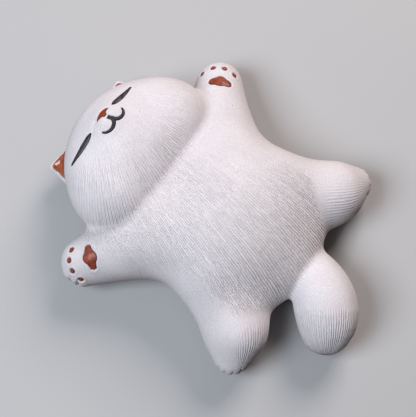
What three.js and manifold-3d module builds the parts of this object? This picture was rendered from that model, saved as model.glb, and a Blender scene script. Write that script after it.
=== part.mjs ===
// Cat tea pet: a small hollow figure of unglazed white clay that lies on its back with its
// four limbs spread, its face to the sky and its tail curled aside. Glazed pads, nose, eyes,
// mouth and ear linings are set into shallow pits in the clay.
//
// Frame: millimetres, +Z up out of the belly, +Y toward the head, +X toward the cat's own left.
// The clay forms are soft solids: each is a field that is negative inside the clay, the fields
// melt into each other, and every piece is shrink-wrapped on to the melted surface.

import * as THREE from "three";
import { mergeVertices } from "three/addons/utils/BufferGeometryUtils.js";
import Module from "manifold-3d";

const wasm = await Module();
wasm.setup();

// Clay wall, seams and openings
const clayWall = 3.6;
const lutingGap = 0.3;
const ventDiameter = 7;
const ventBehindBelly = 3;
const neckBoreDiameter = 11;
const neckBoreHeight = 12.4;

// How far a piece's skin is carried past its seams before it is trimmed back to them
const limbMargin = 2.4;
const neckMargin = 1.2;
const earMargin = 1;

// Belly, chest and rump: the round masses of the torso
const bellyWidth = 43.5;
const bellyLength = 39;
const bellyDepth = 29.3;
const bellyY = -5.4;
const baseFlat = 1.35;
const chestWidth = 50.4;
const chestLength = 31.8;
const chestDepth = 16.2;
const chestY = 16.3;
const chestHeight = 10.9;
const rumpWidth = 27.6;
const rumpLength = 22.6;
const rumpDepth = 17.1;
const rumpY = -21.6;
const rumpHeight = 9.5;

// Head: a flat round skull with a bar of cheek and chin across its lower edge, and a muzzle
const headX = 0.3;
const skullWidth = 38.7;
const skullLength = 29.2;
const skullDepth = 26.3;
const skullY = 33.1;
const skullHeight = 14.9;
const cheekSpread = 25.4;
const cheekRadius = 12.6;
const cheekBelowSkull = 7.1;
const muzzleWidth = 12.4;
const muzzleLength = 9.4;
const muzzleRise = 1.5;
const muzzleDepth = 5;
const muzzleX = 0.6;
const muzzleAboveSkull = 3.3;

// Ears: wide short triangles, pinched thin toward the tip
const earTipX = 16.8;
const earTipAboveSkull = 15.1;
const earSinkage = 7.1;
const earReach = 9;
const earSplay = 37;
const earTipRadius = 1.3;
const earBaseRadius = 7.9;
const earFlatRatio = 0.5;
const earSeatRaise = 0.5;
const earSeatReach = 12.6;

// Forelegs: shoulder to paw
const shoulderX = 15.6;
const shoulderY = 8.9;
const shoulderHeight = 11.25;
const shoulderRadius = 9.5;
const pawX = 33.7;
const pawY = 22.1;
const pawRadius = 6.7;
const pawLift = 1.5;
const shoulderSeam = 9.5;
const shoulderSeamYaw = 18;

// Hind legs: hip to ankle to toes
const hipX = 18;
const hipY = -13.4;
const hipHeight = 11.25;
const hipRadius = 8.2;
const ankleX = 25.2;
const ankleY = -24.9;
const ankleRadius = 8.4;
const ankleLift = 1.2;
const toeX = 31.1;
const toeY = -28.2;
const toeRadius = 5.2;
const toeLift = 2.7;
const hipSeam = 4;
const hipSeamYaw = -29;

// Tail: the root, the thickest part and the tip of its curve, strung of short parts
const tailRootX = 3.8;
const tailRootY = -31;
const tailRootHeight = 7.2;
const tailRootRadius = 5.5;
const tailBendX = -3.2;
const tailBendY = -40.7;
const tailBendRadius = 9.1;
const tailTipX = -9.5;
const tailTipY = -45.6;
const tailTipRadius = 7.2;
const tailLift = 0.8;
const tailParts = 6;
const tailSeamY = -32.8;

// How softly neighbouring masses melt into each other
const limbMelt = 4.2;
const ankleMelt = 0.9;
const headMelt = 2.7;
const muzzleMelt = 1.4;
const earMelt = 2.4;
const neckMelt = 1.8;
const tailMelt = 2.4;

// Glazed inlays: how deep their pits are, how far the glaze stands proud, and each outline
const pitDepth = 1.2;
const pitClearance = 4;
const glazeProud = 0.25;
const palmPadInset = 2.1;
const palmPadMelt = 0.35;
const leftPalmRadius = 1.85;
const rightPalmRadius = 2.05;
const leftLobeInset = 0.35;
const rightLobeInset = 0;
const leftLobeRadius = 1.2;
const rightLobeRadius = 1.05;
const leftPalmSpread = 2.3;
const rightPalmSpread = 2.7;
const leftPalmTurn = -12;
const rightPalmTurn = -2;
const leftPalmDrift = -0.15;
const rightPalmDrift = -1.3;
const toePadDiameter = 1.7;
const toePadDome = 0.4;
const toePadShoulderRatio = 0.7;
const toePadCount = 4;
const leftToeDrift = 1;
const rightToeDrift = -1.1;
const leftToeRing = 7.5;
const rightToeRing = 6.3;
const leftToeStep = 28;
const rightToeStep = 30;
const leftToeInset = 4.2;
const rightToeInset = 2.1;
const leftToeTurn = -6;
const rightToeTurn = 0;
const earGlazeRim = 0.9;
const earGlazeBlunt = 0.8;
const noseWidth = 5.3;
const noseCrown = 0.9;
const noseDepth = 1;
const noseTipWidth = 0.9;
const noseAboveMuzzle = 2.5;
const mouthBelowNose = 2.85;
const mouthAside = 0.45;
const mouthArcHeight = 2.1;
const leftMouthArc = 2.1;
const rightMouthArc = 2.45;
const mouthStroke = 1.1;
const mouthStem = 1.1;
const mouthHook = -0.15;
const mouthThinningRatio = 0.7;
const eyeBelowNose = 0.2;
const leftEyeInnerX = 4.7;
const leftEyeLength = 8.2;
const rightEyeInnerX = 5.6;
const rightEyeLength = 9.7;
const eyeStroke = 1.4;
const eyeSag = 0.25;
const eyeTailRatio = 0.14;
const eyeBluntPower = 0.6;

// Clay and glaze colours
const clay = { color: 0xe4dedd, roughness: 0.92, metalness: 0 };
const brownGlaze = { color: 0x96412a, roughness: 0.18, metalness: 0 };
const noseGlaze = { color: 0xa8451c, roughness: 0.2, metalness: 0 };
const blackGlaze = { color: 0x3b3a3e, roughness: 0.45, metalness: 0 };

const vec = (x, y, z) => new THREE.Vector3(x, y, z);
const mirrored = (p, side) => vec(p.x * side, p.y, p.z);

// Places on the head, all measured from the skull's middle
const cheekY = skullY - cheekBelowSkull;
const muzzleY = skullY + muzzleAboveSkull;
const noseY = muzzleY + noseAboveMuzzle;
const mouthY = noseY - mouthBelowNose;
const eyeY = noseY - eyeBelowNose;
const earTipY = skullY + earTipAboveSkull;
const earHeight = skullHeight - earSinkage;

// Fields

function ellipsoid(centre, width, length, depth) {
  const radii = vec(width / 2, length / 2, depth / 2);
  return (p) => {
    const q = p.clone().sub(centre).divide(radii);
    const scaled = Math.max(q.length(), 1e-6);
    return (scaled * (scaled - 1)) / Math.max(q.divide(radii).length(), 1e-9);
  };
}

// A cone with ball ends: ball a of radius ra to ball b of radius rb
function roundCone(a, b, ra, rb) {
  const axis = b.clone().sub(a);
  const lengthSq = axis.lengthSq();
  const drop = ra - rb;
  const slopeSq = lengthSq - drop * drop;
  return (p) => {
    const q = p.clone().sub(a);
    const y = q.dot(axis);
    const z = y - lengthSq;
    const xSq = q.multiplyScalar(lengthSq).addScaledVector(axis, -y).lengthSq();
    const k = Math.sign(drop) * drop * drop * xSq;
    if (Math.sign(z) * slopeSq * z * z * lengthSq > k) {
      return Math.sqrt(xSq + z * z * lengthSq) / lengthSq - rb;
    }
    if (Math.sign(y) * slopeSq * y * y * lengthSq < k) {
      return Math.sqrt(xSq + y * y * lengthSq) / lengthSq - ra;
    }
    return (Math.sqrt(xSq * slopeSq / lengthSq) + y * drop) / lengthSq - ra;
  };
}

// The value at t of a smooth curve that passes b halfway between a and c
function passing(a, b, c, t) {
  const pull = 2 * b - (a + c) / 2;
  return (1 - t) ** 2 * a + 2 * t * (1 - t) * pull + t ** 2 * c;
}

// Round cones strung along a smooth curve through three balls
function rope(parts, from, middle, to) {
  const ball = (t) => {
    const at = (pick) => passing(pick(from), pick(middle), pick(to), t);
    const centre = vec(at((b) => b.centre.x), at((b) => b.centre.y), at((b) => b.centre.z));
    return { centre, radius: at((b) => b.radius) };
  };
  const balls = Array.from({ length: parts + 1 }, (_, i) => ball(i / parts));
  const cones = balls.slice(1).map((next, i) => {
    const last = balls[i];
    return roundCone(last.centre, next.centre, last.radius, next.radius);
  });
  return (p) => Math.min(...cones.map((cone) => cone(p)));
}

// Masses that melt together evenly, whatever their order
const melt = (softness, ...fields) => (p) => {
  const values = fields.map((field) => field(p));
  const least = Math.min(...values);
  const sum = values.reduce((total, v) => total + Math.exp((least - v) / softness), 0);
  return least - softness * Math.log(sum);
};

// Two masses that keep a crease, with a small fillet in it
const crease = (fillet, f, g) => (p) => {
  const a = f(p);
  const b = g(p);
  const near = Math.max(fillet - Math.abs(a - b), 0) / fillet;
  return Math.min(a, b) - (near * near * fillet) / 4;
};

const common = (...fields) => (p) => Math.max(...fields.map((field) => field(p)));
const offset = (field, inward) => (p) => field(p) + inward;

// The forms of the cat

// How far along each limb, from its seam, and down each ear, from its tip, its middle lies
const forelegMiddleRatio = 0.4;
const hindLegMiddleRatio = 0.3;
const earMiddleRatio = 0.4;

// A limb meets the torso on an upright plane across its axis
function seamAcross(start, direction, reach, yaw, side) {
  const turn = THREE.MathUtils.degToRad(yaw);
  return {
    seam: start.clone().addScaledVector(direction, reach),
    facing: mirrored(vec(Math.cos(turn), Math.sin(turn), 0), side),
  };
}

const leftPads = {
  palm: {
    drift: leftPalmDrift,
    spread: leftPalmSpread,
    turn: leftPalmTurn,
    radius: leftPalmRadius,
    lobeInset: leftLobeInset,
    lobeRadius: leftLobeRadius,
  },
  toes: {
    drift: leftToeDrift,
    ring: leftToeRing,
    step: leftToeStep,
    inset: leftToeInset,
    turn: leftToeTurn,
  },
};
const rightPads = {
  palm: {
    drift: rightPalmDrift,
    spread: rightPalmSpread,
    turn: rightPalmTurn,
    radius: rightPalmRadius,
    lobeInset: rightLobeInset,
    lobeRadius: rightLobeRadius,
  },
  toes: {
    drift: rightToeDrift,
    ring: rightToeRing,
    step: rightToeStep,
    inset: rightToeInset,
    turn: rightToeTurn,
  },
};

const belly = vec(0, bellyY, bellyDepth / 2 - baseFlat);
const skull = vec(headX, skullY, skullHeight);
const foreleg = (side) => {
  const shoulder = mirrored(vec(shoulderX, shoulderY, shoulderHeight), side);
  const paw = mirrored(vec(pawX, pawY, pawRadius + pawLift), side);
  const direction = paw.clone().sub(shoulder).normalize();
  const joint = seamAcross(shoulder, direction, shoulderSeam, shoulderSeamYaw, side);
  const field = roundCone(shoulder, paw, shoulderRadius, pawRadius);
  const middle = joint.seam.clone().lerp(paw, forelegMiddleRatio);
  const pads = side > 0 ? leftPads : rightPads;
  return { ...joint, side, paw, direction, middle, pads, field };
};
const hindLeg = (side) => {
  const hip = mirrored(vec(hipX, hipY, hipHeight), side);
  const ankle = mirrored(vec(ankleX, ankleY, ankleRadius + ankleLift), side);
  const toe = mirrored(vec(toeX, toeY, toeRadius + toeLift), side);
  const direction = ankle.clone().sub(hip).normalize();
  const joint = seamAcross(hip, direction, hipSeam, hipSeamYaw, side);
  const thigh = roundCone(hip, ankle, hipRadius, ankleRadius);
  const foot = roundCone(ankle, toe, ankleRadius, toeRadius);
  const middle = joint.seam.clone().lerp(toe, hindLegMiddleRatio);
  return { ...joint, middle, field: melt(ankleMelt, thigh, foot) };
};
const forelegs = { left: foreleg(1), right: foreleg(-1) };
const hindLegs = { left: hindLeg(1), right: hindLeg(-1) };

const body = melt(
  limbMelt,
  ellipsoid(belly, bellyWidth, bellyLength, bellyDepth),
  ellipsoid(vec(0, chestY, chestHeight), chestWidth, chestLength, chestDepth),
  ellipsoid(vec(0, rumpY, rumpHeight), rumpWidth, rumpLength, rumpDepth),
  forelegs.left.field,
  forelegs.right.field,
  hindLegs.left.field,
  hindLegs.right.field,
);

const tailBend = vec(tailBendX, tailBendY, tailBendRadius + tailLift);
const tailTip = vec(tailTipX, tailTipY, tailTipRadius + tailLift);
const tail = rope(
  tailParts,
  { centre: vec(tailRootX, tailRootY, tailRootHeight), radius: tailRootRadius },
  { centre: tailBend, radius: tailBendRadius },
  { centre: tailTip, radius: tailTipRadius },
);

const muzzle = vec(muzzleX, muzzleY, skullHeight + skullDepth / 2 + muzzleRise - muzzleDepth);
const head = melt(
  muzzleMelt,
  melt(
    headMelt,
    ellipsoid(skull, skullWidth, skullLength, skullDepth),
    roundCone(
      vec(headX - cheekSpread / 2, cheekY, skullHeight),
      vec(headX + cheekSpread / 2, cheekY, skullHeight),
      cheekRadius,
      cheekRadius,
    ),
  ),
  ellipsoid(muzzle, muzzleWidth, muzzleLength, muzzleDepth * 2),
);

// An ear is a round cone squeezed flat along Z
const earForm = (side) => {
  const splay = THREE.MathUtils.degToRad(earSplay);
  const direction = mirrored(vec(Math.sin(splay), Math.cos(splay), 0), side);
  const tip = mirrored(vec(earTipX, earTipY, earHeight), side).addScaledVector(direction, -earTipRadius);
  const base = tip.clone().addScaledVector(direction, -earReach);
  const flat = (p) => vec(p.x, p.y, earHeight + (p.z - earHeight) / earFlatRatio);
  const cone = roundCone(base, tip, earBaseRadius, earTipRadius);
  const middle = tip.clone().addScaledVector(direction, -earReach * earMiddleRatio);
  return { direction, tip, middle, field: (p) => cone(flat(p)) * earFlatRatio };
};
const ears = { left: earForm(1), right: earForm(-1) };

const headWithEars = crease(earMelt, crease(earMelt, head, ears.left.field), ears.right.field);
const cat = crease(tailMelt, crease(neckMelt, body, headWithEars), tail);

// Solids

const bareGeometry = (geometry) => {
  const bare = geometry.clone();
  bare.deleteAttribute("normal");
  bare.deleteAttribute("uv");
  return mergeVertices(bare, 1e-4);
};

const solidOf = (geometry) => {
  const merged = bareGeometry(geometry);
  return new wasm.Manifold(new wasm.Mesh({
    numProp: 3,
    vertProperties: new Float32Array(merged.attributes.position.array),
    triVerts: new Uint32Array(merged.index.array),
  }));
};

const geometryOf = (solid) => {
  const mesh = solid.getMesh();
  const geometry = new THREE.BufferGeometry();
  geometry.setAttribute("position", new THREE.BufferAttribute(mesh.vertProperties, 3));
  geometry.setIndex(new THREE.BufferAttribute(mesh.triVerts, 1));
  geometry.computeVertexNormals();
  return geometry;
};

// Where a ray that starts inside the clay leaves it
const rayStep = 0.5;
function surfacePoint(field, from, direction) {
  const at = (t) => from.clone().addScaledVector(direction, t);
  let far = rayStep;
  while (field(at(far)) < 0) far += rayStep;
  let near = far - rayStep;
  for (let halving = 0; halving < 16; halving += 1) {
    const middle = (near + far) / 2;
    if (field(at(middle)) < 0) near = middle;
    else far = middle;
  }
  return at(near);
}

// Shrink-wraps a ball of even triangles on to a field, from a point inside it
function wrap(field, centre, detail, stretch = vec(1, 1, 1)) {
  const ball = bareGeometry(new THREE.IcosahedronGeometry(1, detail));
  const position = ball.attributes.position;
  for (let i = 0; i < position.count; i += 1) {
    const direction = vec().fromBufferAttribute(position, i).multiply(stretch).normalize();
    position.setXYZ(i, ...surfacePoint(field, centre, direction));
  }
  return solidOf(ball);
}

// A large block with one face on a plane, on the side that the normal points to
function block(point, normal) {
  const size = 140;
  const box = new THREE.BoxGeometry(size, size, size).translate(0, 0, size / 2);
  box.applyQuaternion(new THREE.Quaternion().setFromUnitVectors(vec(0, 0, 1), normal));
  return solidOf(box.translate(...point));
}

function rod(from, to, diameter) {
  const axis = to.clone().sub(from);
  const shaft = new THREE.CylinderGeometry(diameter / 2, diameter / 2, axis.length(), 24);
  shaft.translate(0, axis.length() / 2, 0);
  shaft.applyQuaternion(new THREE.Quaternion().setFromUnitVectors(vec(0, 1, 0), axis.normalize()));
  return solidOf(shaft.translate(...from));
}

// Seams: half of the luting gap is taken from the piece on each side

const halfGap = lutingGap / 2;
const nearer = (field, other) => (p) => (field(p) - other(p)) / 2;
const within = (centre, reach) => (p) => p.distanceTo(centre) - reach;
const headSide = nearer(head, body);
const bodySide = nearer(body, head);

// The whole region of the head's side of the neck, less a clearance
const neckCentre = vec(0, (skullY + cheekY) / 2, skullHeight);
const headReach = skullWidth;
const headRegion = (clearance) =>
  wrap(common(offset(headSide, clearance), within(neckCentre, headReach)), neckCentre, 7);

const earRegion = (ear, clearance) => {
  const seated = offset(nearer(ear.field, head), earSeatRaise + clearance);
  return wrap(common(seated, within(ear.middle, earSeatReach)), ear.middle, 4);
};

const limbs = {
  foreleg_left: forelegs.left,
  foreleg_right: forelegs.right,
  hind_leg_left: hindLegs.left,
  hind_leg_right: hindLegs.right,
  tail: { facing: vec(0, -1, 0), seam: vec(0, tailSeamY, tailRootHeight), middle: tailBend },
};
const limbSide = ({ seam, facing }) => (p) => p.clone().sub(seam).dot(facing);
const limbBlock = ({ seam, facing }, gap) =>
  block(seam.clone().addScaledVector(facing, gap), facing);

// Torso: a shell with a flat base, a vent through the base and a bore through the neck

const torsoStretch = vec(bellyWidth, (bellyLength + chestLength) / 2, bellyDepth);
const neckBore = rod(
  vec(0, bellyY, neckBoreHeight),
  vec(0, skullY, neckBoreHeight),
  neckBoreDiameter,
);

function makeTorso() {
  const limbSides = Object.values(limbs).map(limbSide);
  const pastLimbs = limbSides.map((side) => offset(side, -limbMargin));
  const shortOfSeams = [...limbSides, bodySide].map((side) => offset(side, clayWall));
  const skin = common(cat, offset(bodySide, -neckMargin), ...pastLimbs);
  const overFloor = (p) => clayWall - p.z;
  const hollow = common(offset(cat, clayWall), overFloor, ...shortOfSeams);
  const ventY = bellyY - ventBehindBelly;
  const vent = rod(vec(0, ventY, -clayWall), vec(0, ventY, belly.z), ventDiameter);
  let shell = wrap(skin, belly, 9, torsoStretch);
  Object.values(limbs).forEach((limb) => {
    shell = shell.subtract(limbBlock(limb, -halfGap));
  });
  return shell
    .subtract(headRegion(-halfGap))
    .subtract(block(vec(), vec(0, 0, -1)))
    .subtract(wrap(hollow, belly, 4, torsoStretch))
    .subtract(neckBore)
    .subtract(vent);
}

// Inlays: an outline cut straight into the clay, between two depths below its surface

const layer = (outline, upper, lower) => outline.intersect(upper).subtract(lower);

// The three depths that every inlay and its pit are cut between, around one centre
function glazeSkins(field, centre, detail) {
  return {
    proud: wrap(offset(field, -glazeProud), centre, detail),
    pit: wrap(offset(field, pitDepth), centre, detail),
    seat: wrap(offset(field, pitDepth - lutingGap), centre, detail),
  };
}
const inlayOf = (outline, skins) => layer(outline, skins.proud, skins.seat);
const pitOf = (outline, skins) => outline.subtract(skins.pit);

// Moves each corner of a closed outline outward
function grown(points, by) {
  const around = THREE.ShapeUtils.isClockWise(points) ? [...points].reverse() : points;
  const outward = (a, b) => new THREE.Vector2(b.y - a.y, a.x - b.x).normalize();
  return around.map((point, i) => {
    const before = outward(around.at(i - 1), point);
    const after = outward(point, around[(i + 1) % around.length]);
    const corner = before.clone().add(after).normalize();
    return point.clone().addScaledVector(corner, by / Math.max(corner.dot(before), 0.5));
  });
}

const prism = (points, low, high) => {
  const shape = new THREE.Shape(points);
  return new THREE.ExtrudeGeometry(shape, { depth: high - low, bevelEnabled: false })
    .translate(0, 0, low);
};

// A brush stroke: a centre line whose width changes from one end to the other
function stroke(line, width, steps) {
  const rims = [[], []];
  for (let i = 0; i <= steps; i += 1) {
    const t = i / steps;
    const point = line.getPoint(t);
    const tangent = line.getTangent(t);
    const aside = new THREE.Vector2(-tangent.y, tangent.x).multiplyScalar(width(t) / 2);
    rims[0].push(point.clone().add(aside));
    rims[1].push(point.clone().sub(aside));
  }
  return [...rims[0], ...rims[1].reverse()];
}

// Pads: a palm pad of three lobes, and a fan of round toe pads in front of it

function palmOutline({ spread, turn, radius, lobeInset, lobeRadius }) {
  const palm = melt(
    palmPadMelt,
    within(vec(), radius),
    within(vec(-lobeInset, spread, 0), lobeRadius),
    within(vec(-lobeInset, -spread, 0), lobeRadius),
  );
  const centre = vec(-lobeInset, 0, 0);
  const corners = 28;
  const corner = (i) => {
    const angle = (2 * Math.PI * i) / corners;
    const rim = surfacePoint(palm, centre, vec(Math.cos(angle), Math.sin(angle), 0));
    return new THREE.Vector2(rim.x, rim.y)
      .rotateAround(new THREE.Vector2(), THREE.MathUtils.degToRad(turn));
  };
  return Array.from({ length: corners }, (_, i) => corner(i));
}

// A round button with a low dome, standing on its seat
function button(diameter, low, high, dome) {
  const rim = diameter / 2;
  const shoulder = new THREE.Vector2(rim * toePadShoulderRatio, high - dome * (1 - toePadShoulderRatio));
  const points = [
    new THREE.Vector2(0, low),
    new THREE.Vector2(rim, low),
    new THREE.Vector2(rim, high - dome),
    shoulder,
    new THREE.Vector2(0, high),
  ];
  return new THREE.LatheGeometry(points, 10).rotateX(Math.PI / 2);
}

// Turns a shape drawn around the origin to stand on a paw's skin, over a point that is
// given from the middle of the paw: outward along the limb, and aside toward the head
function standOnPaw({ side, paw, direction }, outward, aside, geometry) {
  const along = vec(direction.x, direction.y, 0).normalize();
  const across = vec(0, 0, side).cross(along);
  const below = paw.clone().addScaledVector(along, outward).addScaledVector(across, aside);
  const foot = surfacePoint(cat, below, vec(0, 0, 1));
  const probe = 0.05;
  const slope = (axis) => cat(foot.clone().addScaledVector(axis, probe)) - cat(foot);
  const normal = vec(slope(vec(1, 0, 0)), slope(vec(0, 1, 0)), slope(vec(0, 0, 1))).normalize();
  const sideways = normal.clone().cross(along).normalize();
  const turn = new THREE.Matrix4().makeBasis(sideways.clone().cross(normal), sideways, normal);
  return solidOf(geometry.applyMatrix4(turn.setPosition(foot)));
}

// Each pad as a piece and as the hole that it sits in
function padsOn(foreleg) {
  const { palm, toes } = foreleg.pads;
  const outline = palmOutline(palm);
  const skins = glazeSkins(cat, foreleg.paw, 4);
  const stand = (outward, aside, geometry) => standOnPaw(foreleg, outward, aside, geometry);
  const palmPad = (grow) => stand(
    -palmPadInset,
    palm.drift,
    prism(grow ? grown(outline, grow) : outline, -pitClearance, pitClearance),
  );
  const pads = [{
    name: "palm_pad",
    body: inlayOf(palmPad(0), skins),
    hole: pitOf(palmPad(lutingGap), skins),
  }];
  const seat = lutingGap - pitDepth;
  for (let toe = 0; toe < toePadCount; toe += 1) {
    const angle = THREE.MathUtils.degToRad(toes.step * ((toePadCount - 1) / 2 - toe) + toes.turn);
    const outward = toes.ring * Math.cos(angle) - toes.inset;
    const aside = toes.ring * Math.sin(angle) + toes.drift;
    const pit = button(toePadDiameter + 2 * lutingGap, -pitDepth, pitClearance, 0);
    pads.push({
      name: `toe_pad_${toe + 1}`,
      body: stand(outward, aside, button(toePadDiameter, seat, glazeProud, toePadDome)),
      hole: stand(outward, aside, pit),
    });
  }
  return pads;
}

// Face: a nose, a mouth of two hanging arcs, and two closed eyes, all drawn from above

const faceLow = skullHeight;
const faceHigh = skullHeight + skullDepth;

function noseOutline() {
  const tip = noseTipWidth / 2;
  const shape = new THREE.Shape();
  shape.moveTo(muzzleX + noseWidth / 2, noseY);
  shape.quadraticCurveTo(muzzleX, noseY + noseCrown * 2, muzzleX - noseWidth / 2, noseY);
  shape.quadraticCurveTo(muzzleX - tip, noseY, muzzleX - tip, noseY - noseDepth);
  shape.lineTo(muzzleX + tip, noseY - noseDepth);
  shape.quadraticCurveTo(muzzleX + tip, noseY, muzzleX + noseWidth / 2, noseY);
  return shape.getPoints(5).slice(1);
}

function mouthOutlines() {
  const forkX = muzzleX + mouthAside;
  const arc = (side, reach) => {
    const start = side > 0 ? Math.PI : 0;
    const end = side > 0 ? 2 * Math.PI + mouthHook : -Math.PI - mouthHook;
    return new THREE.EllipseCurve(
      forkX + side * reach, mouthY, reach, mouthArcHeight, start, end, side < 0,
    );
  };
  const thinning = (t) => mouthStroke * (1 - mouthThinningRatio * t * t);
  const stemTop = new THREE.Vector2(muzzleX, mouthY + mouthStem);
  const stem = new THREE.LineCurve(stemTop, new THREE.Vector2(forkX, mouthY - mouthStroke / 2));
  const upright = () => mouthStroke;
  return [
    stroke(arc(1, leftMouthArc), thinning, 12),
    stroke(arc(-1, rightMouthArc), thinning, 12),
    stroke(stem, upright, 2),
  ];
}

function eyeOutline(side, innerX, length) {
  const at = (along, drop) =>
    new THREE.Vector2(side * (innerX + along * length), eyeY - drop * eyeSag);
  const line = new THREE.QuadraticBezierCurve(at(0, 0), at(0.5, 2), at(1, 0));
  const swell = (t) => Math.sin(Math.PI * t ** eyeBluntPower);
  const leaf = (t) => eyeStroke * (eyeTailRatio + (1 - eyeTailRatio) * swell(t));
  return stroke(line, leaf, 10);
}

const facePrism = (outlines, grow) => outlines
  .map((points) => solidOf(prism(grow ? grown(points, grow) : points, faceLow, faceHigh)))
  .reduce((sum, part) => sum.add(part));

const faceOutlines = {
  nose: [noseOutline()],
  mouth: mouthOutlines(),
  eye_left: [eyeOutline(1, leftEyeInnerX, leftEyeLength)],
  eye_right: [eyeOutline(-1, rightEyeInnerX, rightEyeLength)],
};

// Ear lining: the ear's own triangle, set in by a rim of bare clay
function earGlazeOutline({ tip, direction }) {
  const halfAngle = Math.asin((earBaseRadius - earTipRadius) / earReach);
  const apex = (earTipRadius - earGlazeRim) / Math.sin(halfAngle);
  const corner = (back, aside) => {
    const x = tip.x + direction.x * (apex - back) - direction.y * aside;
    const y = tip.y + direction.y * (apex - back) + direction.x * aside;
    return new THREE.Vector2(x, y);
  };
  const spread = earReach * Math.tan(halfAngle);
  const curve = new THREE.Shape();
  const shoulder = earGlazeBlunt * Math.tan(halfAngle);
  curve.moveTo(...corner(earReach, -spread));
  curve.lineTo(...corner(earGlazeBlunt, -shoulder));
  curve.quadraticCurveTo(...corner(0, 0), ...corner(earGlazeBlunt, shoulder));
  curve.lineTo(...corner(earReach, spread));
  return curve.getPoints(4);
}

// Head: a shell open at the neck, with pits for the face

const headMiddle = vec(0, skullY, skullHeight);
const faceSkins = glazeSkins(cat, headMiddle, 8);

function makeHead() {
  const pastEars = Object.values(ears).map((ear) => offset(nearer(head, ear.field), -earMargin));
  const skin = common(cat, offset(headSide, -neckMargin), ...pastEars);
  const hollow = common(offset(cat, clayWall), offset(headSide, clayWall));
  let shell = wrap(skin, neckCentre, 9)
    .intersect(headRegion(halfGap))
    .subtract(wrap(hollow, neckCentre, 4))
    .subtract(neckBore);
  Object.values(ears).forEach((ear) => {
    shell = shell.subtract(earRegion(ear, -halfGap));
  });
  Object.values(faceOutlines).forEach((outlines) => {
    shell = shell.subtract(pitOf(facePrism(outlines, lutingGap), faceSkins));
  });
  return shell;
}

// Ears: thin lobes on seats that follow the skull, each with its lining

function makeEar(ear) {
  const region = earRegion(ear, halfGap);
  const skins = glazeSkins(cat, ear.middle, 3);
  const outline = earGlazeOutline(ear);
  const standing = (grow) => solidOf(prism(grow ? grown(outline, grow) : outline, earHeight, skullHeight));
  const lobe = wrap(common(cat, offset(nearer(ear.field, head), -earMargin)), ear.middle, 4);
  return {
    lobe: lobe.intersect(region).subtract(pitOf(standing(lutingGap), skins)),
    lining: inlayOf(standing(0), skins).intersect(region),
  };
}

// Limbs: solid clay, luted on at their seams; the forelegs carry the pits of their pads

function makeLimb(limb) {
  const onward = (p) => -limbSide(limb)(p) - limbMargin;
  return wrap(common(cat, onward, offset(bodySide, -neckMargin)), limb.middle, 5)
    .intersect(limbBlock(limb, halfGap))
    .subtract(headRegion(-halfGap));
}

// Assembly: every piece is named and has its own finish

const toy = new THREE.Group();

function put(name, solid, finish) {
  const mesh = new THREE.Mesh(geometryOf(solid), new THREE.MeshStandardMaterial(finish));
  mesh.name = name;
  toy.add(mesh);
}

put("torso", makeTorso(), clay);
put("head", makeHead(), clay);
Object.entries(ears).forEach(([side, ear]) => {
  const { lobe, lining } = makeEar(ear);
  put(`ear_${side}`, lobe, clay);
  put(`ear_lining_${side}`, lining, brownGlaze);
});
Object.entries(forelegs).forEach(([side, foreleg]) => {
  let leg = makeLimb(foreleg);
  padsOn(foreleg).forEach((pad) => {
    leg = leg.subtract(pad.hole);
    put(pad.name.replace("pad", `pad_${side}`), pad.body, brownGlaze);
  });
  put(`foreleg_${side}`, leg, clay);
});
put("hind_leg_left", makeLimb(hindLegs.left), clay);
put("hind_leg_right", makeLimb(hindLegs.right), clay);
put("tail", makeLimb(limbs.tail), clay);
Object.entries(faceOutlines).forEach(([name, outlines]) => {
  put(name, inlayOf(facePrism(outlines, 0), faceSkins), name === "nose" ? noseGlaze : blackGlaze);
});

// The origin is under the middle of the whole figure, on the table
const middle = new THREE.Box3().setFromObject(toy).getCenter(vec());
toy.position.set(-middle.x, -middle.y, 0);

export default toy;
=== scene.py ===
# %% [markdown]
# # A white clay cat for the tea tray
# The real figure is a small hollow cat of white clay, fired bare, that lies on its back with
# its limbs spread. Glaze fills shallow pits in it: pads, nose, eyes, mouth and ear linings.
# This lesson dresses its CAD model: one smooth skin is grown over the CAD pieces, carved,
# and cut back into the same pieces, and the glaze is poured into the pits.

# %% Load the CAD model as a fixed frame
import math

import bmesh
import bpy
import numpy as np
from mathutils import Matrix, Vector
from mathutils.bvhtree import BVHTree


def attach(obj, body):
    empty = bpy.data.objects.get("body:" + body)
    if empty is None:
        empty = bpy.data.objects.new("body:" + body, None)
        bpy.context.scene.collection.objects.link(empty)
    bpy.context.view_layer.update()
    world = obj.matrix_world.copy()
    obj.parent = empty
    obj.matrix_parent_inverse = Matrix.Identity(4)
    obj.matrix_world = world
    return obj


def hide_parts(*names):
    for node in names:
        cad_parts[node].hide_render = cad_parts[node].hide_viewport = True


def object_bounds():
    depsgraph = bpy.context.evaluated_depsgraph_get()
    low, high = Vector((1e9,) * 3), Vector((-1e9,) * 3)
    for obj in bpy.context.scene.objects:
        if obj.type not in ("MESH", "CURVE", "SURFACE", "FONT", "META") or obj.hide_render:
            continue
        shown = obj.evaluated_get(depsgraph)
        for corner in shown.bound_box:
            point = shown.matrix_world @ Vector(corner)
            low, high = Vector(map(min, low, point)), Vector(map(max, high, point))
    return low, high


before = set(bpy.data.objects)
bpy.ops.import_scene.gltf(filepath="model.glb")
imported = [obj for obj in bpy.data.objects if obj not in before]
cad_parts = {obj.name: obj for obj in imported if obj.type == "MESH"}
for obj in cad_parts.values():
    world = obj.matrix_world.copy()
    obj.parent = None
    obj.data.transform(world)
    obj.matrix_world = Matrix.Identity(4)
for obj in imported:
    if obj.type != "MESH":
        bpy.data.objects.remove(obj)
cad_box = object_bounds()
MM = 0.001
print("CAD nodes:", len(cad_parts))

# %% [markdown]
# ## Camera
# The photograph looks down on the figure from beside its right hip, at 75 degrees above the
# floor. The camera stands on a line through the belly, so two angles, a distance and the
# point looked at describe it fully.

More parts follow.
